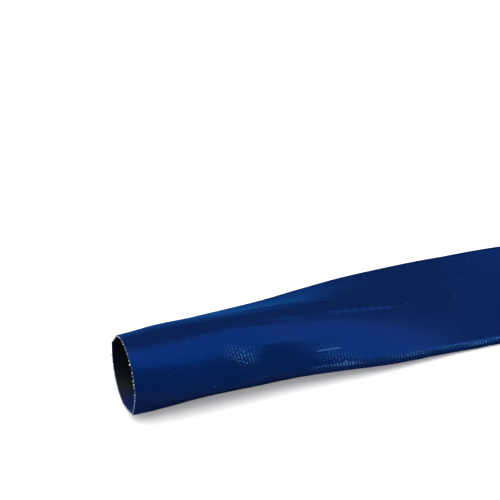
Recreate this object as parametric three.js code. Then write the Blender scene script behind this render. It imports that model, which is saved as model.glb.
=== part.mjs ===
// A cut length of lay-flat pump hose, in millimetres, +Z up.
//
// The hose is one tube: a woven polyester jacket with soft PVC inside and outside it, bonded into
// a single wall. Its open end stands round, and over the taper it presses flat on two folded
// edges, as it comes off the roll. The wall neither stretches nor shrinks, so every section has
// the same girth.
//
// The hose lies on the floor. The origin is on the floor under the middle of its box, and +X runs
// from the open end along the flat stretch.
import * as THREE from "three";
import { ParametricGeometry } from "three/addons/geometries/ParametricGeometry.js";
import { mergeVertices } from "three/addons/utils/BufferGeometryUtils.js";

// Sizes of the hose.
const BORE = 51.5; // inside diameter where the hose is round
const WALL = 1.5; // both layers of PVC with the jacket between them
const LENGTH = 1000; // along the centre line
const FOLD_RADIUS = 2; // inside a folded edge, where the hose is flat
const FLAT_GAP = 0.8; // between the inner faces at mid width, where the hose is flat

// How the hose stands open: round at its open end, a little lower behind it, then pressed flat.
const MOUTH_LENGTH = 70; // from the open end to where the taper starts
const MOUTH_SAG = 0.16; // share of its height that it loses over that length
const TAPER_LENGTH = 215; // from there to where it lies flat

// How the hose lies, seen from above: its round end points a little aside of the flat stretch.
const ROUND_END_YAW = 8; // degrees
const BEND_FROM = 210; // distance from the open end
const BEND_LENGTH = 70;

// How finely the faces follow the shape.
const TAPER_STEP = 9;
const FLAT_STEP = 120;
const FOLD_FACES = 6; // on a quarter of the girth
const CROWN_FACES = 7; // on a quarter of the girth

const HALF_WALL = WALL / 2;
const QUARTER_GIRTH = (Math.PI * (BORE + WALL)) / 4; // of the middle of the wall
const TIGHT_RADIUS = FOLD_RADIUS + HALF_WALL; // middle of the wall, at a flat hose's edge
const ROUND_HALF = (BORE + WALL) / 2; // from the centre to the middle of the wall
const FLAT_HALF = (FLAT_GAP + WALL) / 2;
const FLAT_FROM = MOUTH_LENGTH + TAPER_LENGTH; // from the open end

// The x between low and high at which a rising function reaches the target.
function reach(target, rising, low, high) {
  for (let step = 0; step < 60; step += 1) {
    const middle = (low + high) / 2;
    if (rising(middle) < target) low = middle;
    else high = middle;
  }
  return (low + high) / 2;
}

// A section is an oval of four arcs: a crown above, one below, and a fold at each edge. Its turn
// is the angle from the middle of a crown to the crown's end. It is negative where the flat
// hose's crowns sink between its folds.
function oval(foldLength, turn) {
  const crown = (QUARTER_GIRTH - foldLength) / turn;
  const fold = foldLength / (Math.PI / 2 - turn);
  const halfHeight = fold * Math.cos(turn) + crown * (1 - Math.cos(turn)); // at mid width
  const halfWidth = fold * (1 - Math.sin(turn)) + crown * Math.sin(turn);
  return { turn, crown, fold, halfHeight, halfWidth, lowest: turn < 0 ? fold : halfHeight };
}

const SUNK_TURN = -0.5; // no hose's crowns sink further
const tightFold = (turn) => TIGHT_RADIUS * (Math.PI / 2 - turn);
const flatTurn = reach(FLAT_HALF, (turn) => oval(tightFold(turn), turn).halfHeight, SUNK_TURN, 1);
const FOLD_LENGTH = tightFold(flatTurn); // of a quarter's share of a folded edge
const ROUND_TURN = (Math.PI / 2) * (1 - FOLD_LENGTH / QUARTER_GIRTH);

// The section with that half height.
function sectionOf(halfHeight) {
  const height = (turn) => oval(FOLD_LENGTH, turn).halfHeight;
  return oval(FOLD_LENGTH, reach(halfHeight, height, SUNK_TURN, ROUND_TURN));
}

// The point at a share of a quarter girth from the edge to the crown, offset outwards from the
// middle of the wall. FOLD_FACES of the quarter's faces lie on the fold.
function quarterPoint(section, share, offset) {
  const { turn, crown, fold, halfHeight, halfWidth } = section;
  const place = share * (FOLD_FACES + CROWN_FACES);
  if (place <= FOLD_FACES) {
    const angle = (place / FOLD_FACES) * (Math.PI / 2 - turn);
    const radius = fold + offset;
    return [halfWidth - fold + radius * Math.cos(angle), radius * Math.sin(angle)];
  }
  const angle = (1 - (place - FOLD_FACES) / CROWN_FACES) * turn;
  const radius = crown + offset;
  return [radius * Math.sin(angle), halfHeight - crown + radius * Math.cos(angle)];
}

// The point at a share of the whole girth, from the edge at +side round by the upper crown.
function sectionPoint(section, share, offset) {
  const quarters = (share % 1) * 4;
  const quarter = Math.floor(quarters);
  const part = quarters - quarter;
  const [side, up] = quarterPoint(section, quarter % 2 ? 1 - part : part, offset);
  return [quarter === 1 || quarter === 2 ? -side : side, quarter > 1 ? -up : up];
}

// The half height of the middle of the wall at a distance from the open end.
function halfHeightAt(distance) {
  const share = Math.min(distance / MOUTH_LENGTH, 1);
  const sagged = 1 - MOUTH_SAG * share * (2 - share);
  const pressed = THREE.MathUtils.smoothstep(distance, MOUTH_LENGTH, FLAT_FROM);
  return THREE.MathUtils.lerp(FLAT_HALF, ROUND_HALF, sagged * (1 - pressed));
}

// The centre line seen from above: straight, a bend, and straight along +X.
function planRoute() {
  const yaw = THREE.MathUtils.degToRad(ROUND_END_YAW);
  const aside = new THREE.Vector3(Math.cos(yaw), Math.sin(yaw), 0);
  const ahead = new THREE.Vector3(1, 0, 0);
  const mouth = new THREE.Vector3();
  const bendStart = mouth.clone().addScaledVector(aside, BEND_FROM);
  const corner = bendStart.clone().addScaledVector(aside, BEND_LENGTH / 2);
  const bendEnd = corner.clone().addScaledVector(ahead, BEND_LENGTH / 2);
  const end = bendEnd.clone().addScaledVector(ahead, LENGTH - BEND_FROM - BEND_LENGTH);
  const route = new THREE.CurvePath();
  route.add(new THREE.LineCurve3(mouth, bendStart));
  route.add(new THREE.QuadraticBezierCurve3(bendStart, corner, bendEnd));
  route.add(new THREE.LineCurve3(bendEnd, end));
  return route;
}

// Where the section at a distance stands, and its three directions. Its lowest point is on the
// floor, and it is square to the centre line, which slopes as the hose gets flatter.
const route = planRoute();
const SLOPE_STEP = 2;
function stationAt(distance) {
  const section = sectionOf(halfHeightAt(distance));
  const before = sectionOf(halfHeightAt(Math.max(distance - SLOPE_STEP, 0)));
  const after = sectionOf(halfHeightAt(distance + SLOPE_STEP));
  const span = SLOPE_STEP + Math.min(distance, SLOPE_STEP);
  const slope = Math.atan((after.lowest - before.lowest) / span);
  const along = route.getTangentAt(distance / LENGTH);
  const side = new THREE.Vector3(-along.y, along.x, 0);
  along.multiplyScalar(Math.cos(slope)).setZ(Math.sin(slope));
  const up = new THREE.Vector3().crossVectors(along, side);
  const centre = route.getPointAt(distance / LENGTH).setZ((section.lowest + HALF_WALL) * up.z);
  return { section, centre, side, up };
}

// Even steps from one distance to another, without the last.
function steps(from, to, step) {
  const count = Math.ceil((to - from) / step);
  return Array.from({ length: count }, (_, index) => from + ((to - from) * index) / count);
}

// The tube's surface as one closed loop of rings: out along the outer skin and back inside.
function hoseGeometry() {
  const distances = [
    ...steps(0, FLAT_FROM, TAPER_STEP),
    ...steps(FLAT_FROM, LENGTH, FLAT_STEP),
    LENGTH,
  ];
  const stations = distances.map(stationAt);
  const outside = stations.map((station) => ({ station, offset: HALF_WALL }));
  const inside = stations.map((station) => ({ station, offset: -HALF_WALL })).reverse();
  const rings = [...outside, ...inside, outside[0]];
  const place = (around, along, target) => {
    const { station, offset } = rings[Math.round(along * (rings.length - 1))];
    const [sideways, upwards] = sectionPoint(station.section, around, offset);
    target.copy(station.centre);
    target.addScaledVector(station.side, sideways).addScaledVector(station.up, upwards);
  };
  const facesAround = 4 * (FOLD_FACES + CROWN_FACES);
  const surface = new ParametricGeometry(place, facesAround, rings.length - 1);
  surface.deleteAttribute("normal");
  surface.deleteAttribute("uv");
  const closed = mergeVertices(surface, 1e-3);
  closed.computeVertexNormals();
  return closed;
}

const bluePvc = new THREE.MeshStandardMaterial({ color: 0x10367a, roughness: 0.3, metalness: 0 });
const hose = new THREE.Mesh(hoseGeometry(), bluePvc);
hose.name = "hose";

const box = new THREE.Box3().setFromObject(hose);
hose.position.set(-(box.min.x + box.max.x) / 2, -(box.min.y + box.max.y) / 2, -box.min.z);

const pumpHose = new THREE.Group();
pumpHose.add(hose);

export default pumpHose;
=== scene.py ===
"""A metre of blue lay-flat pump hose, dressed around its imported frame.

The frame holds the plain tube. This file builds the wall that shows: the same tube in finer
steps, with the creases and dents of the real one, and the jacket's yarns at both cuts.
All lengths are in metres.
"""

from __future__ import annotations

import logging
import math
import random
from collections.abc import Callable
from dataclasses import dataclass
from enum import Enum

import bmesh
import bpy
from mathutils import Matrix, Vector, noise

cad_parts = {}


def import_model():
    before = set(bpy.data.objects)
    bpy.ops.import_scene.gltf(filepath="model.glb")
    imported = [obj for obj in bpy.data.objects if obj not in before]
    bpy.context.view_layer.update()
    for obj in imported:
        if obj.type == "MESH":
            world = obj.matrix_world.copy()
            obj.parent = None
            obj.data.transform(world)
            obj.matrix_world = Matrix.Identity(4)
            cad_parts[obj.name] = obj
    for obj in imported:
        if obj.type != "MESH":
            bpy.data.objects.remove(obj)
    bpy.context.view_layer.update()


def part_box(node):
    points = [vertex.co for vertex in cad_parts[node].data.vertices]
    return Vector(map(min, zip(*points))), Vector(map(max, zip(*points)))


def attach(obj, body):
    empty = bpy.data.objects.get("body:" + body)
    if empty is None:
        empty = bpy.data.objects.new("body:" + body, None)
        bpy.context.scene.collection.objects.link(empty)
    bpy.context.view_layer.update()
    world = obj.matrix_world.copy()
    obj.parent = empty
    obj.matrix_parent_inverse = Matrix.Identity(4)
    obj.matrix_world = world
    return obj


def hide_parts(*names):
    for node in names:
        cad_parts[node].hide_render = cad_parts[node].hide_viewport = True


LOG = logging.getLogger("pump_hose")
RIBS = "ribs"
ROUTE_PARTS = 36


class Wall(Enum):
    """The faces of the hose's wall, in the order of the hose's material slots."""

    OUTSIDE = 0
    INSIDE = 1
    CUT = 2


class HoseEnd(Enum):
    """The two cuts of the hose, with the way out of each along the hose."""

    OPEN = -1
    FLAT = 1


# Sizes and shape of the hose


@dataclass(frozen=True)
class HoseSizes:
    """The hose's driving sizes, which are those of the frame."""

    bore: float = 0.0515
    wall: float = 0.0015
    length: float = 1.0
    fold_radius: float = 0.002
    flat_gap: float = 0.0008
    mouth_length: float = 0.07
    mouth_sag: float = 0.16
    taper_length: float = 0.215
    round_end_yaw: float = math.radians(8)
    bend_from: float = 0.21
    bend_length: float = 0.07
    warp_ends: int = 62
    weft_pitch: float = 0.0022

    @property
    def half_wall(self) -> float:
        """Half of the wall's thickness."""
        return self.wall / 2

    @property
    def girth(self) -> float:
        """Girth of the middle of the wall, the same at every section."""
        return math.pi * (self.bore + self.wall)

    @property
    def round_half(self) -> float:
        """Half height of the middle of the wall where the hose is round."""
        return (self.bore + self.wall) / 2

    @property
    def flat_half(self) -> float:
        """Half height of the middle of the wall at mid width, where the hose is flat."""
        return (self.flat_gap + self.wall) / 2

    @property
    def flat_from(self) -> float:
        """Distance from the open end at which the hose lies flat."""
        return self.mouth_length + self.taper_length


def smoothstep(value: float, low: float, high: float) -> float:
    """Rise smoothly from 0 at low to 1 at high.

    Args:
        value: The number to place between low and high.
        low: Where the rise starts.
        high: Where the rise ends.

    Returns:
        The height of the rise, from 0 to 1.
    """
    share = min(max((value - low) / (high - low), 0.0), 1.0)
    return share * share * (3 - 2 * share)


@dataclass(frozen=True)
class Oval:
    """A section of four arcs: a crown above, one below, and a fold at each edge."""

    quarter: float
    fold_length: float
    turn: float

    @property
    def crown(self) -> float:
        """Radius of a crown, which is negative where it sinks between the folds."""
        return (self.quarter - self.fold_length) / self.turn

    @property
    def fold(self) -> float:
        """Radius of a fold."""
        return self.fold_length / (math.pi / 2 - self.turn)

    @property
    def half_height(self) -> float:
        """Half of the section's height at mid width."""
        return self.fold * math.cos(self.turn) + self.crown * (1 - math.cos(self.turn))

    @property
    def half_width(self) -> float:
        """Half of the section's width."""
        return self.fold * (1 - math.sin(self.turn)) + self.crown * math.sin(self.turn)

    @property
    def lowest(self) -> float:
        """How far the section's lowest point lies below its centre."""
        return self.fold if self.turn < 0 else self.half_height

    def quarter_point(self, arc: float, offset: float) -> tuple[float, float]:
        """Find a point of the quarter that runs from the edge to the top of the crown.

        Args:
            arc: Distance from the edge along the middle of the wall.
            offset: Distance outwards from the middle of the wall.

        Returns:
            How far the point lies sideways and upwards of the centre.
        """
        if arc <= self.fold_length:
            angle = arc / self.fold
            radius = self.fold + offset
            return (
                self.half_width - self.fold + radius * math.cos(angle),
                radius * math.sin(angle),
            )
        angle = (self.quarter - arc) / self.crown
        radius = self.crown + offset
        return (
            radius * math.sin(angle),
            self.half_height - self.crown + radius * math.cos(angle),
        )

    def point(self, arc: float, offset: float) -> tuple[float, float]:
        """Find a point of the whole section.

        Args:
            arc: Distance round the section from the far edge, over the top first.
            offset: Distance outwards from the middle of the wall.

        Returns:
            How far the point lies sideways and upwards of the centre.
        """
        index = int(arc // self.quarter) % 4
        part = arc % self.quarter
        if index % 2:
            part = self.quarter - part
        side, up = self.quarter_point(part, offset)
        return (-side if index in (1, 2) else side, -up if index > 1 else up)


@dataclass(frozen=True)
class Station:
    """Where a section stands: its centre, its three directions and its oval."""

    centre: Vector
    side: Vector
    up: Vector
    oval: Oval

    @property
    def along(self) -> Vector:
        """Direction of the hose's length, away from the open end."""
        return self.side.cross(self.up)

    def place(self, arc: float, offset: float) -> Vector:
        """Find a point of the section in the row frame.

        Args:
            arc: Distance round the section from the far edge, over the top first.
            offset: Distance outwards from the middle of the wall.

        Returns:
            The point in the row frame.
        """
        side, up = self.oval.point(arc, offset)
        return self.centre + self.side * side + self.up * up


class HoseLay:
    """How the hose lies: its centre line and the section at each distance along it."""

    SLOPE_STEP = 0.002
    SUNK_TURN = -0.5

    def __init__(self, sizes: HoseSizes, box: tuple[Vector, Vector]) -> None:
        """Work out the folds and the place of the open end.

        Args:
            sizes: The hose's driving sizes.
            box: Lowest and highest corner of the hose in the frame.
        """
        self.sizes = sizes
        self.quarter = sizes.girth / 4
        tight = sizes.fold_radius + sizes.half_wall
        flat_turn = self._reach(
            sizes.flat_half,
            lambda turn: Oval(self.quarter, tight * (math.pi / 2 - turn), turn).half_height,
            self.SUNK_TURN,
            1.0,
        )
        self.fold_length = tight * (math.pi / 2 - flat_turn)
        self.mouth = Vector((0.0, 0.0))
        end, _ = self.plan(sizes.length)
        flat = self.oval(sizes.flat_half)
        corner = box[1].xy
        self.mouth = corner - Vector((0, flat.half_width + sizes.half_wall)) - end

    @staticmethod
    def _reach(target: float, rising: Callable[[float], float], low: float, high: float) -> float:
        """Find where a rising function reaches a target, by halving.

        Args:
            target: The value to reach.
            rising: A rising function of one number.
            low: A number below the answer.
            high: A number above the answer.

        Returns:
            The number at which the function reaches the target.
        """
        for _ in range(50):
            middle = (low + high) / 2
            if rising(middle) < target:
                low = middle
            else:
                high = middle
        return (low + high) / 2

    def oval(self, half_height: float) -> Oval:
        """Make the section with that half height and the hose's girth."""
        round_turn = math.pi / 2 * (1 - self.fold_length / self.quarter)
        turn = self._reach(
            half_height,
            lambda turn: Oval(self.quarter, self.fold_length, turn).half_height,
            self.SUNK_TURN,
            round_turn,
        )
        return Oval(self.quarter, self.fold_length, turn)

    def openness(self, distance: float) -> float:
        """Say how far the hose has opened, from 0 flat to 1 round."""
        sizes = self.sizes
        share = min(distance / sizes.mouth_length, 1.0)
        sagged = 1 - sizes.mouth_sag * share * (2 - share)
        return sagged * (1 - smoothstep(distance, sizes.mouth_length, sizes.flat_from))

    def half_height(self, distance: float) -> float:
        """Half height of the middle of the wall at a distance from the open end."""
        flat, full = self.sizes.flat_half, self.sizes.round_half
        return flat + (full - flat) * self.openness(distance)

    def plan(self, distance: float) -> tuple[Vector, Vector]:
        """Find the centre line seen from above: straight, a bend, and straight along +X.

        Args:
            distance: Distance from the open end along the hose.

        Returns:
            The point and the direction there, both in the plane of the floor.
        """
        sizes = self.sizes
        aside = Vector((math.cos(sizes.round_end_yaw), math.sin(sizes.round_end_yaw)))
        ahead = Vector((1.0, 0.0))
        into = min(max(distance - sizes.bend_from, 0.0), sizes.bend_length)
        share = into / sizes.bend_length
        point = self.mouth + aside * min(distance, sizes.bend_from)
        point += aside * into + (ahead - aside) * (into * share / 2)
        point += ahead * max(distance - sizes.bend_from - sizes.bend_length, 0.0)
        return point, aside.lerp(ahead, share).normalized()

    def station(self, distance: float) -> Station:
        """Stand the section at a distance on the floor, square to the centre line.

        Args:
            distance: Distance from the open end along the hose.

        Returns:
            The section's place, directions and shape.
        """
        oval = self.oval(self.half_height(distance))
        before = self.oval(self.half_height(max(distance - self.SLOPE_STEP, 0.0)))
        after = self.oval(self.half_height(distance + self.SLOPE_STEP))
        span = self.SLOPE_STEP + min(distance, self.SLOPE_STEP)
        slope = math.atan((after.lowest - before.lowest) / span)
        point, heading = self.plan(distance)
        side = Vector((-heading.y, heading.x, 0.0))
        along = Vector((*(heading * math.cos(slope)), math.sin(slope)))
        up = along.cross(side)
        height = (oval.lowest + self.sizes.half_wall) * up.z
        return Station(Vector((point.x, point.y, height)), side, up, oval)


# Relief of the wall: dents, creases and the unevenness of a soft tube


def arc_between(arc: float, other: float, girth: float) -> float:
    """Say how far an arc lies ahead of another, the shorter way round the hose."""
    return (arc - other + girth / 2) % girth - girth / 2


@dataclass(frozen=True)
class Dent:
    """A soft hollow in the wall, or a swelling where its depth is negative.

    It lies at a distance from the open end and an arc round the hose from the far edge. Its
    length is turned by slant from the hose's length towards the near edge. Where it is ribbed,
    the bent wall shows its jacket more.
    """

    distance: float
    arc: float
    length: float
    width: float
    depth: float
    slant: float = 0.0
    ribbed: float = 0.0

    def share_at(self, distance: float, arc: float, girth: float) -> float:
        """Say how much of the dent there is at a point of the wall.

        Args:
            distance: Distance from the open end.
            arc: Distance round the hose from the far edge.
            girth: The hose's girth.

        Returns:
            The share, 1 at the dent's middle.
        """
        ahead, round_it = distance - self.distance, arc_between(arc, self.arc, girth)
        cosine, sine = math.cos(self.slant), math.sin(self.slant)
        lengthwise = (ahead * cosine + round_it * sine) / self.length
        crosswise = (round_it * cosine - ahead * sine) / self.width
        return math.exp(-(lengthwise**2) - crosswise**2)


@dataclass(frozen=True)
class PleatRow:
    """A row of small bulges where the wall is gathered along a line of the hose."""

    start: float
    end: float
    arc: float
    pitch: float
    width: float
    height: float

    def height_at(self, distance: float, arc: float) -> float:
        """Say how far the row stands out at a point of the wall.

        Args:
            distance: Distance from the open end.
            arc: Distance round the hose from the far edge.

        Returns:
            The height there.
        """
        inside = smoothstep(distance, self.start, self.start + 2 * self.pitch)
        inside *= 1 - smoothstep(distance, self.end - 3 * self.pitch, self.end)
        bead = (1 + math.cos(2 * math.pi * (distance - self.start) / self.pitch)) / 2
        return self.height * inside * bead * math.exp(-(((arc - self.arc) / self.width) ** 2))


@dataclass(frozen=True)
class Crease:
    """A lasting fold line that runs along the hose, and stands out where the hose has opened.

    It follows the edge of the flat hose, and rolls a little round the hose as that opens.
    """

    flat_arc: float
    open_arc: float
    height: float
    reach: float
    sharpness: float = 0.0004

    def height_at(self, arc: float, openness: float, girth: float) -> float:
        """Say how far the crease stands out at a point of the wall.

        Args:
            arc: Distance round the hose from the far edge.
            openness: How far the hose has opened there, from 0 to 1.
            girth: The hose's girth.

        Returns:
            The height there.
        """
        line = self.flat_arc + (self.open_arc - self.flat_arc) * openness
        apart = abs(arc_between(arc, line, girth))
        rounded = math.hypot(apart, self.sharpness) - self.sharpness
        return self.height * smoothstep(openness, 0.1, 0.85) * math.exp(-rounded / self.reach)


@dataclass(frozen=True)
class WallRelief:
    """Everything that the wall does beside the smooth shape of the tube."""

    lay: HoseLay
    creases: tuple[Crease, ...]
    pleats: tuple[PleatRow, ...]
    dents: tuple[Dent, ...]
    waver: float = 0.00045
    waver_pitch: float = 0.035
    flat_waver: float = 0.00012
    fold_reach: float = 0.0040
    fold_ribs: float = 0.8

    def rise(self, distance: float, arc: float) -> float:
        """Say how far the wall stands out of the smooth tube.

        Args:
            distance: Distance from the open end.
            arc: Distance round the hose from the far edge.

        Returns:
            The rise, positive outwards.
        """
        girth = self.lay.sizes.girth
        openness = self.lay.openness(distance)
        crease = sum(crease.height_at(arc, openness, girth) for crease in self.creases)
        angle = 2 * math.pi * arc / girth
        radius = girth / (2 * math.pi)
        place = Vector((distance, radius * math.cos(angle), radius * math.sin(angle)))
        wave = noise.noise(place / self.waver_pitch)
        waver = (self.flat_waver + (self.waver - self.flat_waver) * openness) * wave
        sunk = sum(dent.depth * dent.share_at(distance, arc, girth) for dent in self.dents)
        gathered = sum(row.height_at(distance, arc) for row in self.pleats)
        return crease + waver + gathered - sunk

    def ribs(self, distance: float, arc: float) -> float:
        """Say how clearly the wall shows its jacket's ribs.

        Args:
            distance: Distance from the open end.
            arc: Distance round the hose from the far edge.

        Returns:
            The clearness, from 0 on a plain wall to 1 where it is sharply bent.
        """
        girth = self.lay.sizes.girth
        bent = sum(dent.ribbed * dent.share_at(distance, arc, girth) for dent in self.dents)
        folded = math.exp(-(((arc - girth / 2) / self.fold_reach) ** 2))
        pressed = 1 - smoothstep(self.lay.openness(distance), 0.1, 0.7)
        return min(bent + self.fold_ribs * folded * pressed, 1.0)


def photo_relief(lay: HoseLay) -> WallRelief:
    """Place the creases, dents and gathers where the photograph shows them.

    Args:
        lay: How the hose lies.

    Returns:
        The wall's relief.
    """
    edge = lay.sizes.girth / 2
    creases = (
        Crease(0.0, 0.0010, 0.0015, 0.0022),
        Crease(edge, edge + 0.0130, 0.0017, 0.0034, 0.0003),
    )
    dents = (
        # Round the mouth
        Dent(0.000, 0.011, 0.020, 0.007, 0.0013),
        Dent(0.000, 0.085, 0.025, 0.007, 0.0008),
        Dent(0.000, 0.110, 0.030, 0.008, 0.0012),
        Dent(0.000, 0.148, 0.030, 0.014, 0.0010),
        # The far side and the top of the round part
        Dent(0.032, 0.018, 0.024, 0.012, -0.0012),
        Dent(0.040, 0.033, 0.090, 0.014, -0.0012),
        Dent(0.110, 0.014, 0.046, 0.018, 0.0044),
        Dent(0.190, 0.010, 0.045, 0.010, 0.0006),
        # The near side, which bends in behind the mouth
        Dent(0.048, 0.100, 0.036, 0.013, 0.0026),
        Dent(0.080, 0.058, 0.012, 0.009, 0.0015),
        Dent(0.082, 0.078, 0.012, 0.009, -0.0015),
        Dent(0.079, 0.065, 0.011, 0.006, 0.0, 0.75, ribbed=1.3),
        Dent(0.112, 0.062, 0.040, 0.005, 0.0, 0.1, ribbed=0.35),
        Dent(0.102, 0.057, 0.013, 0.007, -0.0009),
        Dent(0.134, 0.098, 0.026, 0.014, 0.0006),
        Dent(0.176, 0.088, 0.050, 0.008, -0.0010),
        Dent(0.142, 0.066, 0.026, 0.010, 0.0013),
        Dent(0.142, 0.077, 0.020, 0.005, 0.0, 0.1, ribbed=0.8),
        Dent(0.138, 0.0686, 0.011, 0.0014, -0.00018),
        # Fine ridges along the top and the far side
        Dent(0.165, 0.0413, 0.050, 0.0014, -0.00015, 0.03),
        Dent(0.113, 0.041, 0.012, 0.0017, -0.00040, 0.08),
        Dent(0.129, 0.038, 0.010, 0.0015, -0.00030, -0.06),
        Dent(0.098, 0.045, 0.012, 0.0020, -0.00030, 0.05),
        Dent(0.062, 0.043, 0.006, 0.0030, -0.00030, 0.9),
        Dent(0.205, 0.0415, 0.034, 0.0013, -0.00016, 0.02),
        Dent(0.150, 0.031, 0.030, 0.0012, -0.0002, 0.04),
        Dent(0.105, 0.026, 0.022, 0.0016, -0.00035, 0.05, ribbed=0.6),
        # A crumpled patch on the far side
        Dent(0.123, 0.0238, 0.011, 0.0035, 0.0, ribbed=0.9),
        Dent(0.117, 0.0240, 0.0030, 0.0022, -0.00032, 0.7),
        Dent(0.124, 0.0246, 0.0034, 0.0020, -0.00034, -0.5),
        Dent(0.131, 0.0228, 0.0034, 0.0020, -0.00030, 0.4),
    )
    pleats = (
        PleatRow(0.140, 0.202, 0.0413, 0.0064, 0.0017, 0.00100),
        PleatRow(0.088, 0.126, 0.0250, 0.0047, 0.0020, 0.00050),
    )
    return WallRelief(lay, creases, pleats, dents)


# Finishes


class Shading:
    """A material's node tree, with short calls for the nodes that the finishes share."""

    def __init__(self, name: str) -> None:
        """Start an empty tree with its shader and its output.

        Args:
            name: The material's name.
        """
        self.material = bpy.data.materials.new(name)
        self.material.use_nodes = True
        self.tree = self.material.node_tree
        self.shader = self.tree.nodes["Principled BSDF"]

    def node(self, kind: str, **settings: object) -> bpy.types.Node:
        """Add a node and set its own properties."""
        node = self.tree.nodes.new(kind)
        for name, value in settings.items():
            setattr(node, name, value)
        return node

    def plug(self, socket: bpy.types.NodeSocket, value: object) -> None:
        """Link a socket to another, or set its value.

        Args:
            socket: The input to feed.
            value: An output socket, a number or a colour.
        """
        if isinstance(value, bpy.types.NodeSocket):
            self.tree.links.new(value, socket)
        else:
            socket.default_value = value

    def math(self, operation: str, *values: object) -> bpy.types.NodeSocket:
        """Add a math node.

        Args:
            operation: Blender's name for the operation.
            values: Its inputs, as sockets or numbers.

        Returns:
            The node's result.
        """
        node = self.node("ShaderNodeMath", operation=operation)
        for socket, value in zip(node.inputs, values):
            self.plug(socket, value)
        return node.outputs[0]

    def fade(self, value: object, low: float, high: float) -> bpy.types.NodeSocket:
        """Map a value smoothly to 0 at low and 1 at high, whichever is the larger."""
        node = self.node("ShaderNodeMapRange", interpolation_type="SMOOTHSTEP")
        self.plug(node.inputs["Value"], value)
        node.inputs["From Min"].default_value = low
        node.inputs["From Max"].default_value = high
        return node.outputs["Result"]

    def blend(self, share: object, first: object, second: object) -> bpy.types.NodeSocket:
        """Mix two colours by a share from 0 to 1."""
        node = self.node("ShaderNodeMix", data_type="RGBA")
        colours = [socket for socket in node.inputs if socket.type == "RGBA"]
        self.plug(node.inputs["Factor"], share)
        self.plug(colours[0], first)
        self.plug(colours[1], second)
        return next(socket for socket in node.outputs if socket.type == "RGBA")

    def grain(self, vector: object, scale: float, detail: float = 2.0) -> bpy.types.NodeSocket:
        """Add noise over a vector."""
        node = self.node("ShaderNodeTexNoise")
        self.plug(node.inputs["Vector"], vector)
        node.inputs["Scale"].default_value = scale
        node.inputs["Detail"].default_value = detail
        return node.outputs["Fac"]

    def stretch(self, vector: object, scale: tuple[float, float, float]) -> bpy.types.NodeSocket:
        """Scale a vector along each of its axes."""
        node = self.node("ShaderNodeVectorMath", operation="MULTIPLY")
        self.plug(node.inputs[0], vector)
        node.inputs[1].default_value = scale
        return node.outputs["Vector"]

    def bump(self, height: object, distance: float, strength: float = 1.0) -> None:
        """Feed the shader's normal with a height, in front of any bump that it has.

        Args:
            height: The height, from 0 to 1.
            distance: What a height of 1 is, in metres.
            strength: The share of the bump that shows.
        """
        node = self.node("ShaderNodeBump")
        node.inputs["Strength"].default_value = strength
        node.inputs["Distance"].default_value = distance
        self.plug(node.inputs["Height"], height)
        normal = self.shader.inputs["Normal"]
        if normal.is_linked:
            self.plug(node.inputs["Normal"], normal.links[0].from_socket)
        self.plug(normal, node.outputs["Normal"])

    def wall_place(self) -> tuple[bpy.types.NodeSocket, ...]:
        """Read the wall's own map.

        Returns:
            The map as a vector, the arc round the hose and the distance along it, in metres.
        """
        place = self.node("ShaderNodeTexCoord").outputs["UV"]
        parts = self.node("ShaderNodeSeparateXYZ")
        self.plug(parts.inputs[0], place)
        return place, parts.outputs["X"], parts.outputs["Y"]


@dataclass(frozen=True)
class Weave:
    """The jacket's weave as it shows through the PVC: thick weft ribs, tied down by the warp."""

    warp_pitch: float
    weft_pitch: float
    tied_height: float = 0.72
    waver: float = 0.00035

    def height(self, shading: Shading) -> bpy.types.NodeSocket:
        """Draw the weave's height over the wall's map.

        Args:
            shading: The material to draw it in.

        Returns:
            The height, from 0 in the grooves to 1 on the ribs.
        """
        place, arc, distance = shading.wall_place()
        drift = shading.math("MULTIPLY", shading.grain(place, 90.0), self.waver)
        row = shading.math("DIVIDE", shading.math("ADD", distance, drift), self.weft_pitch)
        shift = shading.math("MULTIPLY", shading.math("FLOOR", row), 0.5)
        end = shading.math("ADD", shading.math("DIVIDE", arc, self.warp_pitch), shift)
        rib = self._arch(shading, row)
        knot = self._arch(shading, end)
        tied = shading.math("MULTIPLY_ADD", knot, 1 - self.tied_height, self.tied_height)
        return shading.math("MULTIPLY", rib, tied)

    @staticmethod
    def _arch(shading: Shading, count: bpy.types.NodeSocket) -> bpy.types.NodeSocket:
        """Turn a running count into arches: 0 at each whole number, and 1 between."""
        part = shading.math("FRACT", count)
        centred = shading.math("MULTIPLY_ADD", part, 2.0, -1.0)
        return shading.math("SUBTRACT", 1.0, shading.math("MULTIPLY", centred, centred))


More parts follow.
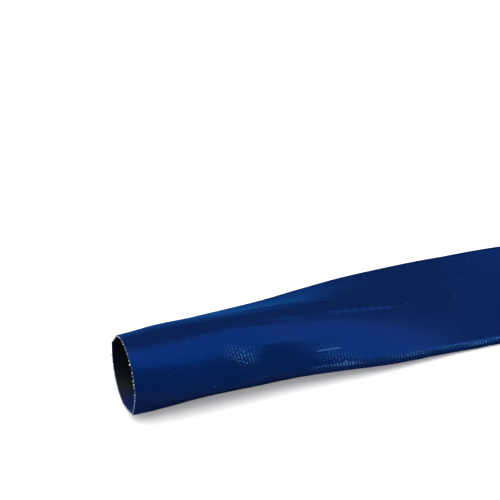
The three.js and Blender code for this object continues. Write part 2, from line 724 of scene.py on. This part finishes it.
@dataclass(frozen=True)
class OuterPvc:
    """The blue PVC outside, with the jacket's ribs, handling marks and a near fold lightened
    partly as wear, partly as painted highlight.

    The ends of its painted crease highlight are places on the wall's map: an arc and a distance.
    """

    weave: Weave
    girth: float
    # The groove colour is darker than the rib colour as painted shade in the weave's grooves.
    groove: tuple[float, ...] = (0.0008, 0.0068, 0.040, 1.0)
    rib: tuple[float, ...] = (0.0011, 0.0084, 0.049, 1.0)
    # The pale colour: real wear on scuffs and flecks, painted highlight along the near fold and
    # along one crease line.
    worn_and_highlight: tuple[float, ...] = (0.060, 0.190, 0.420, 1.0)
    gloss_tint: tuple[float, ...] = (0.0, 0.14, 1.0, 1.0)
    glint_tint: tuple[float, ...] = (0.12, 0.45, 1.0, 1.0)
    # A painted highlight along one crease line, drawn in the pale colour.
    crease_highlight_start: tuple[float, float] = (0.0692, 0.1270)
    crease_highlight_end: tuple[float, float] = (0.0689, 0.1490)
    crease_highlight_reach: float = 0.0008
    crease_highlight_share: float = 0.26
    corner_arc: float = 0.0029
    corner_reach: float = 0.0015
    scuff_wear: float = 0.06
    fleck_wear: float = 0.35
    streak_depth: float = 0.00012
    grain_depth: float = 0.00022
    rib_depth: float = 0.00045
    plain_share: float = 0.06

    def material(self) -> bpy.types.Material:
        """Build the finish."""
        shading = Shading("blue_pvc_outside")
        shader = shading.shader
        place, arc, distance = shading.wall_place()
        height = self.weave.height(shading)
        mottle = shading.grain(place, 34.0, 3.0)
        # Random mottle, plus painted shade: the weave's grooves darker and its rib tops lighter.
        mottle_and_groove_shade = shading.math("MULTIPLY_ADD", mottle, 0.7, shading.math("MULTIPLY", height, 0.3))
        colour = shading.blend(mottle_and_groove_shade, self.groove, self.rib)
        # Near fold: rib tops lightened in dashes, partly wear and partly a painted highlight of
        # the fold's glints.
        from_fold = shading.math("ABSOLUTE", shading.math("SUBTRACT", arc, self.girth / 2))
        off_corner = shading.math("ABSOLUTE", shading.math("SUBTRACT", from_fold, self.corner_arc))
        corner = shading.fade(off_corner, self.corner_reach, 0.0006)
        clear = shading.node("ShaderNodeAttribute", attribute_name=RIBS).outputs["Fac"]
        patchy = shading.fade(shading.grain(place, 420.0, 1.0), 0.25, 0.62)
        clear = shading.math("MULTIPLY", clear, shading.math("MULTIPLY_ADD", patchy, 0.7, 0.3))
        rub_and_glint_noise = shading.grain(shading.stretch(place, (300.0, 45.0, 1.0)), 1.0)
        rubbed_and_glinting = shading.fade(rub_and_glint_noise, 0.3, 0.65)
        wear_and_highlight = shading.math("MULTIPLY", shading.math("MULTIPLY", corner, rubbed_and_glinting), clear)
        wear_and_highlight = shading.math("MULTIPLY", wear_and_highlight, shading.math("POWER", height, 2.0))
        marks = shading.grain(shading.stretch(place, (60.0, 700.0, 1.0)), 1.0)
        scuffs = shading.fade(marks, 0.66, 0.78)
        wear_and_highlight = shading.math("MAXIMUM", wear_and_highlight, shading.math("MULTIPLY", scuffs, self.scuff_wear))
        flecks = shading.fade(shading.grain(place, 260.0, 0.0), 0.86, 0.91)
        wear_and_highlight = shading.math("MAXIMUM", wear_and_highlight, shading.math("MULTIPLY", flecks, self.fleck_wear))
        # The painted highlight of the crease line.
        wear_and_highlight = shading.math("MAXIMUM", wear_and_highlight, self._crease_highlight(shading, arc, distance))
        # Wear and painted highlights, mixed into the base colour.
        shading.plug(shader.inputs["Base Color"], shading.blend(wear_and_highlight, colour, self.worn_and_highlight))
        dull = shading.math("MULTIPLY_ADD", mottle, 0.10, 0.26)
        polished = shading.math("MULTIPLY_ADD", clear, -0.16, dull)
        shading.plug(shader.inputs["Roughness"], shading.math("MULTIPLY_ADD", wear_and_highlight, 0.2, polished))
        bright = shading.math("MULTIPLY", clear, height)
        tint = shading.blend(bright, self.gloss_tint, self.glint_tint)
        shading.plug(shader.inputs["Specular Tint"], tint)
        tops = shading.math("MULTIPLY", shading.math("POWER", height, 1.6), 1.6)
        level = shading.node("ShaderNodeMix", data_type="FLOAT")
        shading.plug(level.inputs["Factor"], clear)
        shading.plug(level.inputs["A"], 0.5)
        shading.plug(level.inputs["B"], tops)
        shading.plug(shader.inputs["Specular IOR Level"], level.outputs["Result"])
        streaks = shading.grain(shading.stretch(place, (420.0, 7.0, 1.0)), 1.0, 3.0)
        shading.bump(streaks, self.streak_depth, 0.8)
        shading.bump(shading.grain(place, 120.0, 3.0), self.grain_depth, 0.5)
        share = shading.math("MULTIPLY_ADD", clear, 1 - self.plain_share, self.plain_share)
        shading.bump(shading.math("MULTIPLY", height, share), self.rib_depth)
        return shading.material

    def _crease_highlight(
        self, shading: Shading, arc: bpy.types.NodeSocket, distance: bpy.types.NodeSocket
    ) -> bpy.types.NodeSocket:
        """Draw the painted highlight of the one long crease line, as a share of the pale colour.

        Args:
            shading: The material to draw it in.
            arc: The arc round the hose.
            distance: The distance along the hose.

        Returns:
            How far the painted crease highlight lightens the wall.
        """
        (from_arc, start), (to_arc, end) = self.crease_highlight_start, self.crease_highlight_end
        slope = (to_arc - from_arc) / (end - start)
        ahead = shading.math("SUBTRACT", distance, start)
        line = shading.math("MULTIPLY_ADD", ahead, slope, from_arc)
        aside = shading.math("ABSOLUTE", shading.math("SUBTRACT", arc, line))
        off_middle = shading.math("ABSOLUTE", shading.math("SUBTRACT", ahead, (end - start) / 2))
        inside = shading.fade(off_middle, (end - start) / 2, (end - start) / 4)
        narrow = shading.fade(aside, self.crease_highlight_reach, 0.0001)
        shows = shading.math("MULTIPLY", narrow, inside)
        return shading.math("MULTIPLY", shows, self.crease_highlight_share)


@dataclass(frozen=True)
class InnerPvc:
    """The lining, darkened as painted shade inside the hose, smoother than the outside, with a
    faint print of the weave.

    It is painted lighter, as if lit, along a strip on the low near side.
    """

    weave: Weave
    # The first two colours are the lining darkened as painted shade inside the hose, with random
    # mottle between them.
    dark: tuple[float, ...] = (0.0022, 0.0026, 0.0040, 1.0)
    pale: tuple[float, ...] = (0.0032, 0.0050, 0.0130, 1.0)
    # A painted lit strip along the low near side, lighter than the outside's blue.
    lit_strip: tuple[float, ...] = (0.0050, 0.0125, 0.0850, 1.0)
    lit_strip_arc: float = 0.104
    lit_strip_inner: float = 0.012
    lit_strip_outer: float = 0.029

    def material(self) -> bpy.types.Material:
        """Build the finish."""
        shading = Shading("blue_pvc_lining")
        shader = shading.shader
        place, arc, _ = shading.wall_place()
        mottle = shading.grain(place, 40.0, 3.0)
        tint = shading.blend(mottle, self.dark, self.pale)
        # Painted light: the strip along the low near side is lighter, as if lit.
        aside = shading.math("ABSOLUTE", shading.math("SUBTRACT", arc, self.lit_strip_arc))
        near = shading.fade(aside, self.lit_strip_outer, self.lit_strip_inner)
        shading.plug(shader.inputs["Base Color"], shading.blend(near, tint, self.lit_strip))
        shading.plug(shader.inputs["Roughness"], shading.math("MULTIPLY_ADD", mottle, 0.12, 0.42))
        shader.inputs["Specular IOR Level"].default_value = 0.2
        shading.bump(self.weave.height(shading), 0.0001, 0.5)
        return shading.material


@dataclass(frozen=True)
class CutEdge:
    """The cut face of the wall: the jacket's pale yarn between two layers of blue PVC."""

    warp_pitch: float
    pvc: tuple[float, ...] = (0.006, 0.024, 0.115, 1.0)
    yarn: tuple[float, ...] = (0.13, 0.17, 0.24, 1.0)

    def material(self) -> bpy.types.Material:
        """Build the finish."""
        shading = Shading("cut_wall")
        shader = shading.shader
        place, arc, across = shading.wall_place()
        count = shading.math("DIVIDE", arc, self.warp_pitch)
        part = shading.math("FRACT", count)
        centred = shading.math("ABSOLUTE", shading.math("SUBTRACT", part, 0.5))
        gap = shading.fade(centred, 0.46, 0.30)
        band = shading.fade(shading.math("ABSOLUTE", across), 0.00040, 0.00022)
        torn = shading.fade(shading.grain(place, 700.0), 0.36, 0.52)
        shows = shading.math("MULTIPLY", shading.math("MULTIPLY", gap, band), torn)
        shading.plug(shader.inputs["Base Color"], shading.blend(shows, self.pvc, self.yarn))
        shading.plug(shader.inputs["Roughness"], shading.math("MULTIPLY_ADD", shows, 0.35, 0.5))
        shading.bump(shading.grain(place, 2600.0, 4.0), 0.00012, 0.8)
        return shading.material


@dataclass(frozen=True)
class PolyesterYarn:
    """White filament yarn, dulled and tinted by the blue around it."""

    shade: tuple[float, ...] = (0.050, 0.085, 0.17, 1.0)
    bright: tuple[float, ...] = (0.46, 0.54, 0.64, 1.0)

    def material(self) -> bpy.types.Material:
        """Build the finish."""
        shading = Shading("polyester_yarn")
        shader = shading.shader
        place = shading.node("ShaderNodeTexCoord").outputs["Object"]
        soil = shading.fade(shading.grain(place, 420.0), 0.32, 0.58)
        shading.plug(shader.inputs["Base Color"], shading.blend(soil, self.shade, self.bright))
        shading.plug(shader.inputs["Roughness"], shading.math("MULTIPLY_ADD", soil, 0.2, 0.45))
        shader.inputs["Sheen Weight"].default_value = 0.3
        shading.bump(shading.grain(place, 9000.0), 0.00004, 0.7)
        return shading.material


@dataclass(frozen=True)
class StudioPaper:
    """The pale floor."""

    colour: tuple[float, ...] = (0.92, 0.92, 0.92, 1.0)

    def material(self) -> bpy.types.Material:
        """Build the finish."""
        shading = Shading("studio_paper")
        shading.shader.inputs["Base Color"].default_value = self.colour
        shading.shader.inputs["Roughness"].default_value = 0.9
        shading.shader.inputs["Specular IOR Level"].default_value = 0.0
        return shading.material


# The pieces


def stand(
    name: str, mesh: bmesh.types.BMesh, materials: list[bpy.types.Material]
) -> bpy.types.Object:
    """Turn a bmesh into a piece of the scene that rides on the hose.

    Args:
        name: The piece's name.
        mesh: Its mesh, in the row frame. It is freed.
        materials: Its materials, in the order of its slots.

    Returns:
        The piece.
    """
    data = bpy.data.meshes.new(name)
    mesh.to_mesh(data)
    mesh.free()
    for material in materials:
        data.materials.append(material)
    piece = bpy.data.objects.new(name, data)
    bpy.context.scene.collection.objects.link(piece)
    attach(piece, "root")
    return piece


@dataclass
class HoseWall:
    """The hose's one wall: a sheet wrapped into a ring, out along the hose and back inside."""

    lay: HoseLay
    relief: WallRelief
    arc_step: float = 0.0009
    taper_step: float = 0.0016
    flat_step: float = 0.008
    coarser_inside: int = 3
    edge_round: float = 0.0002

    def build(self) -> bpy.types.Object:
        """Build the wall and dress it.

        Returns:
            The piece that stands for the frame's hose.
        """
        arcs = self._arcs()
        rings = self._rings()
        mesh = bmesh.new()
        layer = mesh.loops.layers.uv.new("wall")
        ribs = mesh.verts.layers.float.new(RIBS)
        bmesh.ops.create_grid(mesh, x_segments=len(arcs) - 1, y_segments=len(rings) - 1, size=1.0)
        columns = {vert: round((vert.co.x + 1) / 2 * (len(arcs) - 1)) for vert in mesh.verts}
        rows = {vert: round((vert.co.y + 1) / 2 * (len(rings) - 1)) for vert in mesh.verts}
        for face in mesh.faces:
            last = max(rows[vert] for vert in face.verts)
            face.material_index = self._side(rings, last).value
            face.smooth = True
            for loop in face.loops:
                distance, offset = rings[rows[loop.vert]]
                across = offset if face.material_index == Wall.CUT.value else distance
                loop[layer].uv = (arcs[columns[loop.vert]], across)
        stations = {distance: self.lay.station(distance) for distance, _ in rings}
        for vert in mesh.verts:
            distance, offset = rings[rows[vert]]
            arc = arcs[columns[vert]] % self.lay.sizes.girth
            rise = self.relief.rise(distance, arc)
            vert[ribs] = self.relief.ribs(distance, arc)
            vert.co = stations[distance].place(arc, offset + rise)
        bmesh.ops.remove_doubles(mesh, verts=mesh.verts, dist=1e-6)
        bmesh.ops.recalc_face_normals(mesh, faces=mesh.faces)
        return self._dress(mesh)

    def _arcs(self) -> list[float]:
        """List the arcs round the hose, from the far edge all the way round to it again."""
        girth = self.lay.sizes.girth
        count = 4 * math.ceil(girth / 4 / self.arc_step)
        return [girth * step / count for step in range(count + 1)]

    def _rings(self) -> list[tuple[float, float]]:
        """List the rings of the wall as one closed loop.

        Returns:
            The distance from the open end and the offset from the middle of the wall of each
            ring, out along the outside, over the flat end, back inside and over the open end.
        """
        sizes = self.lay.sizes
        half, edge = sizes.half_wall, self.edge_round
        taper = math.ceil(sizes.flat_from / self.taper_step)
        distances = [sizes.flat_from * step / taper for step in range(1, taper)]
        stretch = sizes.length - sizes.flat_from
        flat = math.ceil(stretch / self.flat_step)
        distances += [sizes.flat_from + stretch * step / flat for step in range(flat)]
        outside = [(edge, half), *((distance, half) for distance in distances)]
        outside.append((sizes.length - edge, half))
        face = [half - edge, half / 2, 0.0, -half / 2, edge - half]
        over_flat = [(sizes.length, offset) for offset in face]
        between = outside[1:-1][:: self.coarser_inside]
        coarse = [outside[0], *between, outside[-1]]
        inside = [(distance, -half) for distance, _ in reversed(coarse)]
        over_open = [(0.0, offset) for offset in reversed(face)]
        return [*outside, *over_flat, *inside, *over_open, outside[0]]

    def _side(self, rings: list[tuple[float, float]], last: int) -> Wall:
        """Say which face of the wall lies between a ring and the one before it."""
        half = self.lay.sizes.half_wall
        offsets = (rings[last - 1][1], rings[last][1])
        if offsets == (half, half):
            return Wall.OUTSIDE
        if offsets == (-half, -half):
            return Wall.INSIDE
        return Wall.CUT

    def _dress(self, mesh: bmesh.types.BMesh) -> bpy.types.Object:
        """Give the wall its materials and say what it is to the frame."""
        sizes = self.lay.sizes
        weave = Weave(sizes.girth / sizes.warp_ends, sizes.weft_pitch)
        finishes = {
            Wall.OUTSIDE: OuterPvc(weave, sizes.girth),
            Wall.INSIDE: InnerPvc(weave),
            Wall.CUT: CutEdge(weave.warp_pitch),
        }
        materials = [finishes[side].material() for side in Wall]
        piece = stand("hose_wall", mesh, materials)
        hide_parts("hose")
        return piece


@dataclass
class YarnEnds:
    """The cut ends of the jacket's warp yarns at one end of the hose, some of them frayed."""

    lay: HoseLay
    relief: WallRelief
    end: HoseEnd
    seed: int
    yarn_width: float = 0.0011
    yarn_thickness: float = 0.00052
    stands_out: float = 0.00042
    missing: float = 0.27
    fibre_radius: float = 0.000045
    fibre_length: float = 0.0016
    fibres_per_end: int = 2

    def build(self) -> bpy.types.Object:
        """Build the yarn ends of one cut as one piece.

        Returns:
            The piece.
        """
        sizes = self.lay.sizes
        chance = random.Random(self.seed)
        distance = 0.0 if self.end is HoseEnd.OPEN else sizes.length
        station = self.lay.station(distance)
        outwards = station.along * self.end.value
        mesh = bmesh.new()
        for index in range(sizes.warp_ends):
            arc = sizes.girth * (index + 0.5 + chance.uniform(-0.12, 0.12)) / sizes.warp_ends
            rise = self.relief.rise(distance, arc)
            middle = station.place(arc, rise)
            out_of_wall = (station.place(arc, rise + sizes.half_wall) - middle).normalized()
            if chance.random() > self.missing:
                self._tuft(mesh, middle, outwards, out_of_wall, chance)
            for _ in range(chance.randint(0, self.fibres_per_end)):
                self._fibre(mesh, middle, outwards, out_of_wall, chance)
        bmesh.ops.recalc_face_normals(mesh, faces=mesh.faces)
        for face in mesh.faces:
            face.smooth = True
        name = f"yarn_ends_{self.end.name.lower()}"
        return stand(name, mesh, [PolyesterYarn().material()])

    def _tuft(
        self,
        mesh: bmesh.types.BMesh,
        middle: Vector,
        outwards: Vector,
        out_of_wall: Vector,
        chance: random.Random,
    ) -> None:
        """Add one cut yarn: a flattened stub with a rough, rounded end.

        Args:
            mesh: The mesh to add it to.
            middle: The middle of the wall at the cut.
            outwards: The way out of the hose's end.
            out_of_wall: The way out of the wall.
            chance: The source of its unevenness.
        """
        depth = self.stands_out * chance.uniform(0.5, 1.7)
        rooted = 2 * depth
        across = outwards.cross(out_of_wall)
        turn = Matrix((across, out_of_wall, outwards)).transposed().to_4x4()
        lean = Matrix.Rotation(chance.uniform(-0.35, 0.35), 4, "Y")
        place = Matrix.Translation(middle + outwards * (depth - rooted / 2)) @ turn @ lean
        flatten = Matrix.Diagonal((self.yarn_width / 2, self.yarn_thickness / 2, 1.0, 1.0))
        stub = bmesh.ops.create_cone(
            mesh,
            cap_ends=True,
            segments=8,
            radius1=1.0,
            radius2=chance.uniform(0.55, 0.85),
            depth=rooted,
            matrix=place @ flatten,
        )
        tips = [vert for vert in stub["verts"] if (vert.co - middle).dot(outwards) > depth * 0.5]
        for vert in tips:
            vert.co += outwards * chance.uniform(-0.3, 0.3) * depth

    def _fibre(
        self,
        mesh: bmesh.types.BMesh,
        middle: Vector,
        outwards: Vector,
        out_of_wall: Vector,
        chance: random.Random,
    ) -> None:
        """Add one stray fibre that bends out of the cut.

        Args:
            mesh: The mesh to add it to.
            middle: The middle of the wall at the cut.
            outwards: The way out of the hose's end.
            out_of_wall: The way out of the wall.
            chance: The source of its length and bend.
        """
        across = outwards.cross(out_of_wall)
        start = middle + across * chance.uniform(-0.5, 0.5) * self.yarn_width
        heading = (outwards + across * chance.uniform(-0.7, 0.7)).normalized()
        curl = (across * chance.uniform(-1, 1) + out_of_wall * chance.uniform(-0.4, 1)) * 0.5
        length = self.fibre_length * chance.uniform(0.35, 1.0)
        steps = 3
        turn = heading.to_track_quat("Z", "Y").to_matrix().to_4x4()
        made = bmesh.ops.create_circle(
            mesh,
            cap_ends=True,
            segments=5,
            radius=self.fibre_radius,
            matrix=Matrix.Translation(start - heading * self.stands_out) @ turn,
        )
        tip = next(face for face in made["verts"][0].link_faces)
        for _ in range(steps):
            grown = bmesh.ops.extrude_discrete_faces(mesh, faces=[tip])
            tip = grown["faces"][0]
            heading = (heading + curl).normalized()
            for vert in tip.verts:
                vert.co += heading * (length / steps)


# Floor, light and camera


@dataclass(frozen=True)
class PhotoView:
    """The camera as the photograph has it.

    The azimuth turns it about +Z from looking along +Y. The mouth's place is in the picture's
    own frame of 500 by 500 pixels.
    """

    azimuth: float = math.radians(-10.886)
    elevation: float = math.radians(52.52)
    distance: float = 1.6414
    lens: float = 174.13
    sensor: float = 36.0
    picture: float = 500.0
    mouth_pixel: tuple[float, float] = (123.32, 374.62)

    def build(self, mouth: Vector) -> bpy.types.Object:
        """Stand the camera so that the mouth's centre shows at its pixel.

        Args:
            mouth: The centre of the open end.

        Returns:
            The camera, which the scene then looks through.
        """
        flat = math.cos(self.elevation)
        back = Vector(
            (
                math.sin(self.azimuth) * flat,
                -math.cos(self.azimuth) * flat,
                math.sin(self.elevation),
            )
        )
        right = Vector((math.cos(self.azimuth), math.sin(self.azimuth), 0.0))
        up = back.cross(right)
        per_pixel = self.distance * self.sensor / self.lens / self.picture
        rightwards = (self.mouth_pixel[0] - self.picture / 2) * per_pixel
        upwards = (self.picture / 2 - self.mouth_pixel[1]) * per_pixel
        data = bpy.data.cameras.new("photo_camera")
        data.lens = self.lens
        data.sensor_width = self.sensor
        data.clip_end = 50.0
        camera = bpy.data.objects.new("photo_camera", data)
        place = mouth + back * self.distance - right * rightwards - up * upwards
        turn = Matrix((right, up, back)).transposed().to_4x4()
        camera.matrix_world = Matrix.Translation(place) @ turn
        bpy.context.scene.collection.objects.link(camera)
        bpy.context.scene.camera = camera
        return camera


@dataclass(frozen=True)
class Softbox:
    """A large soft light that looks down, or is turned from that about the X axis by its tilt."""

    name: str
    place: tuple[float, float, float]
    size: tuple[float, float]
    radiance: float
    tilt: float = 0.0
    colour: tuple[float, float, float] = (1.0, 1.0, 1.0)
    shadow: bool = True

    def build(self) -> bpy.types.Object:
        """Hang the light.

        Returns:
            The light.
        """
        data = bpy.data.lights.new(self.name, "AREA")
        data.shape = "RECTANGLE"
        data.size, data.size_y = self.size
        data.color = self.colour
        data.use_shadow = self.shadow
        data.energy = self.radiance * math.pi * self.size[0] * self.size[1]
        light = bpy.data.objects.new(self.name, data)
        light.matrix_world = Matrix.Translation(self.place) @ Matrix.Rotation(self.tilt, 4, "X")
        light.visible_camera = False
        bpy.context.scene.collection.objects.link(light)
        return light


@dataclass
class Studio:
    """A white sweep under an overhead softbox."""

    floor_size: float = 12.0
    floor_drop: float = 0.0002
    ambient: float = 1.25
    lights: tuple[Softbox, ...] = (
        Softbox("overhead", (0.1, 0.03, 1.1), (2.6, 1.04), 2.5),
        Softbox(
            "edge_strip",
            place=(-0.25, 0.60, -0.34),
            size=(1.8, 0.9),
            radiance=0.75,
            tilt=math.radians(-120),
            colour=(0.02, 0.28, 1.0),
            shadow=False,
        ),
    )

    def build(self) -> None:
        """Lay the floor, hang the lights and set the ambient light."""
        mesh = bmesh.new()
        bmesh.ops.create_grid(mesh, x_segments=1, y_segments=1, size=self.floor_size / 2)
        bmesh.ops.translate(mesh, verts=mesh.verts, vec=(0.0, 0.0, -self.floor_drop))
        data = bpy.data.meshes.new("floor")
        mesh.to_mesh(data)
        mesh.free()
        data.materials.append(StudioPaper().material())
        floor = bpy.data.objects.new("floor", data)
        bpy.context.scene.collection.objects.link(floor)
        floor.visible_glossy = False
        for softbox in self.lights:
            softbox.build()
        world = bpy.data.worlds.new("studio")
        world.use_nodes = True
        sky = world.node_tree.nodes["Background"]
        sky.inputs["Color"].default_value = (1.0, 1.0, 1.0, 1.0)
        sky.inputs["Strength"].default_value = self.ambient
        world.cycles_visibility.glossy = False
        scene = bpy.context.scene
        scene.world = world
        scene.view_settings.view_transform = "Standard"
        scene.view_settings.look = "None"


def main() -> None:
    """Build the hose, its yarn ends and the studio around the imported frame."""
    logging.basicConfig(level=logging.INFO, format="%(name)s: %(message)s")
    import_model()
    sizes = HoseSizes()
    lay = HoseLay(sizes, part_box("hose"))
    mouth = lay.station(0.0).centre
    PhotoView().build(mouth)
    LOG.info("camera: looks at the open end at %s", tuple(round(number, 4) for number in mouth))

    relief = photo_relief(lay)
    wall = HoseWall(lay, relief).build()
    LOG.info("%s: %d faces", wall.name, len(wall.data.polygons))
    yarns = [
        YarnEnds(lay, relief, HoseEnd.OPEN, seed=3).build(),
        YarnEnds(lay, relief, HoseEnd.FLAT, seed=8).build(),
    ]
    for piece in yarns:
        LOG.info("%s: %d faces", piece.name, len(piece.data.polygons))

    stops = [sizes.length * step / ROUTE_PARTS for step in range(ROUTE_PARTS + 1)]
    flat_width = 2 * (lay.oval(sizes.flat_half).half_width + sizes.half_wall)
    [tuple(lay.station(distance).centre) for distance in stops]
    Studio().build()


if __name__ == "__main__":
    main()
